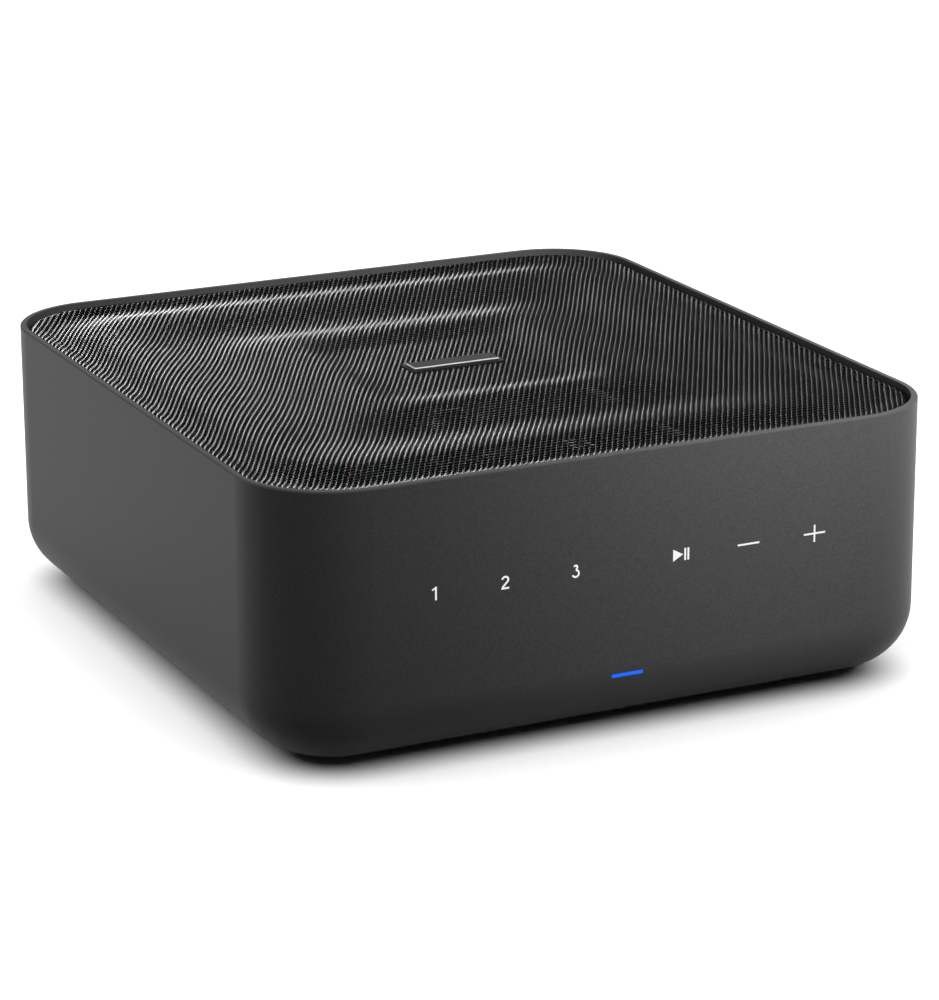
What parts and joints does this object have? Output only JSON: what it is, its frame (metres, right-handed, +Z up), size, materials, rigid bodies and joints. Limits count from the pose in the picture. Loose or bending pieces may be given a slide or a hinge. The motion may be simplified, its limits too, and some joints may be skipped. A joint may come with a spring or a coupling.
{
  "type": "streaming amplifier",
  "caption": "Low black streaming amplifier with rounded corners, rippled perforated metal top, touch marks and status light on the front, and speaker posts and ports on the back.",
  "frame": {"origin": "middle of the whole outline, on the surface the feet stand on", "axes": "+X to the right seen from the front, +Y from the front face to the back, +Z up"},
  "size_m": [0.217, 0.242, 0.086],
  "materials": {
    "shell_black": "fine matte moulded texture",
    "base_black": "matte moulded",
    "foot_rubber": "matte",
    "screw_black": "black zinc",
    "screw_steel": "plated",
    "grille_black": "satin black paint",
    "inner_plastic": "moulded",
    "badge_dark": "dark anodised, bare",
    "mark_white": "light-carrying clear plastic",
    "status_blue": "lit",
    "board_green": "solder mask",
    "panel_black": "fine powder coat",
    "terminal_black": "semi gloss moulded",
    "contact_gold": "gold plated",
    "insert_plastic": "moulded",
    "shutter_grey": "moulded",
    "port_steel": "bright nickel",
    "button_black": "moulded",
    "insulation_clear": "film",
    "chip_black": "moulded",
    "pad_grey": "soft",
    "sink_aluminium": "extruded",
    "transformer_yellow": "taped winding on ferrite",
    "capacitor_black": "sleeved can",
    "copper_winding": "enamelled copper",
    "connector_white": "moulded",
    "lead_black": "insulated wire",
    "lead_red": "insulated wire",
    "lead_grey": "insulated wire",
    "cap_red": "semi gloss moulded",
    "cap_black": "semi gloss moulded"
  },
  "bodies": {
    "root": {"amp_board": "board_green", "badge_plate": "badge_dark", "base_plate": "base_black", "base_screws": "screw_black", "board_chips": "chip_black", "board_connectors": "connector_white", "board_screws": "screw_steel", "bulk_capacitors": "capacitor_black", "button_switches": "terminal_black", "ethernet_port": "port_steel", "frame_screws": "screw_steel", "grille_frame": "inner_plastic", "hdmi_port": "port_steel", "heat_pads": "pad_grey", "heat_sink": "sink_aluminium", "housing_shell": "shell_black", "icon_light_guide": "mark_white", "inlet_pins": "port_steel", "insulation_sheet": "insulation_clear", "line_choke": "copper_winding", "line_jack_barrels": "contact_gold", "line_jack_blocks": "terminal_black", "line_jack_inserts": "insert_plastic", "main_board": "board_green", "mains_fuse": "port_steel", "mains_inlet": "terminal_black", "minijack": "terminal_black", "network_shield": "port_steel", "optical_jack": "terminal_black", "output_coils": "chip_black", "panel_screws": "screw_black", "power_board": "board_green", "power_heat_plate": "sink_aluminium", "power_leads": "lead_black", "power_transformer": "transformer_yellow", "rear_panel": "panel_black", "rubber_feet": "foot_rubber", "signal_leads": "lead_grey", "speaker_leads": "lead_red", "status_light_pipe": "status_blue", "terminal_base": "terminal_black", "terminal_studs": "contact_gold", "top_grille": "grille_black", "touch_board": "board_green", "upper_board": "board_green", "upper_spacers": "screw_steel", "usb_port": "port_steel", "wifi_antennas": "board_green"},
    "right_plus_washer": {"post_washer_right_plus": "contact_gold"},
    "right_plus_cap": {"post_cap_right_plus": "cap_red"},
    "right_minus_washer": {"post_washer_right_minus": "contact_gold"},
    "right_minus_cap": {"post_cap_right_minus": "cap_black"},
    "left_plus_washer": {"post_washer_left_plus": "contact_gold"},
    "left_plus_cap": {"post_cap_left_plus": "cap_red"},
    "left_minus_washer": {"post_washer_left_minus": "contact_gold"},
    "left_minus_cap": {"post_cap_left_minus": "cap_black"},
    "shutter": {"optical_shutter": "shutter_grey"},
    "connect_press": {"connect_button": "button_black"},
    "bluetooth_press": {"bluetooth_button": "button_black"},
    "reset_press": {"reset_button": "button_black"}
  },
  "joints": [
    {"name": "right_plus_travel", "type": "slide", "parent": "root", "child": "right_plus_washer", "axis": [0, 1, 0], "range_m": [0, 0.004]},
    {"name": "right_plus_turn", "type": "hinge", "parent": "right_plus_washer", "child": "right_plus_cap", "pos_m": [-0.038, 0.114, 0.034], "axis": [0, 1, 0], "range_deg": [0, 1800.2]},
    {"name": "right_minus_travel", "type": "slide", "parent": "root", "child": "right_minus_washer", "axis": [0, 1, 0], "range_m": [0, 0.004]},
    {"name": "right_minus_turn", "type": "hinge", "parent": "right_minus_washer", "child": "right_minus_cap", "pos_m": [-0.019, 0.114, 0.034], "axis": [0, 1, 0], "range_deg": [0, 1800.2]},
    {"name": "left_plus_travel", "type": "slide", "parent": "root", "child": "left_plus_washer", "axis": [0, 1, 0], "range_m": [0, 0.004]},
    {"name": "left_plus_turn", "type": "hinge", "parent": "left_plus_washer", "child": "left_plus_cap", "pos_m": [-0.038, 0.114, 0.055], "axis": [0, 1, 0], "range_deg": [0, 1800.2]},
    {"name": "left_minus_travel", "type": "slide", "parent": "root", "child": "left_minus_washer", "axis": [0, 1, 0], "range_m": [0, 0.004]},
    {"name": "left_minus_turn", "type": "hinge", "parent": "left_minus_washer", "child": "left_minus_cap", "pos_m": [-0.019, 0.114, 0.055], "axis": [0, 1, 0], "range_deg": [0, 1800.2]},
    {"name": "shutter_swing", "type": "hinge", "parent": "root", "child": "shutter", "pos_m": [0.0325, 0.1011, 0.0377], "axis": [-1, 0, 0], "range_deg": [0, 80], "stiffness_Nm_per_rad": 0.0004, "springref_deg": -28.65},
    {"name": "connect_press_travel", "type": "slide", "parent": "root", "child": "connect_press", "axis": [0, -1, 0], "range_m": [0, 0.0008], "stiffness_N_per_m": 300, "springref_m": -0.001},
    {"name": "bluetooth_press_travel", "type": "slide", "parent": "root", "child": "bluetooth_press", "axis": [0, -1, 0], "range_m": [0, 0.0008], "stiffness_N_per_m": 300, "springref_m": -0.001},
    {"name": "reset_press_travel", "type": "slide", "parent": "root", "child": "reset_press", "axis": [0, -1, 0], "range_m": [0, 0.0008], "stiffness_N_per_m": 300, "springref_m": -0.001}
  ],
  "couplings": [
    {"joint": "right_plus_turn", "follows": "right_plus_travel", "rad_per_m": 7854},
    {"joint": "right_minus_turn", "follows": "right_minus_travel", "rad_per_m": 7854},
    {"joint": "left_plus_turn", "follows": "left_plus_travel", "rad_per_m": 7854},
    {"joint": "left_minus_turn", "follows": "left_minus_travel", "rad_per_m": 7854}
  ]
}
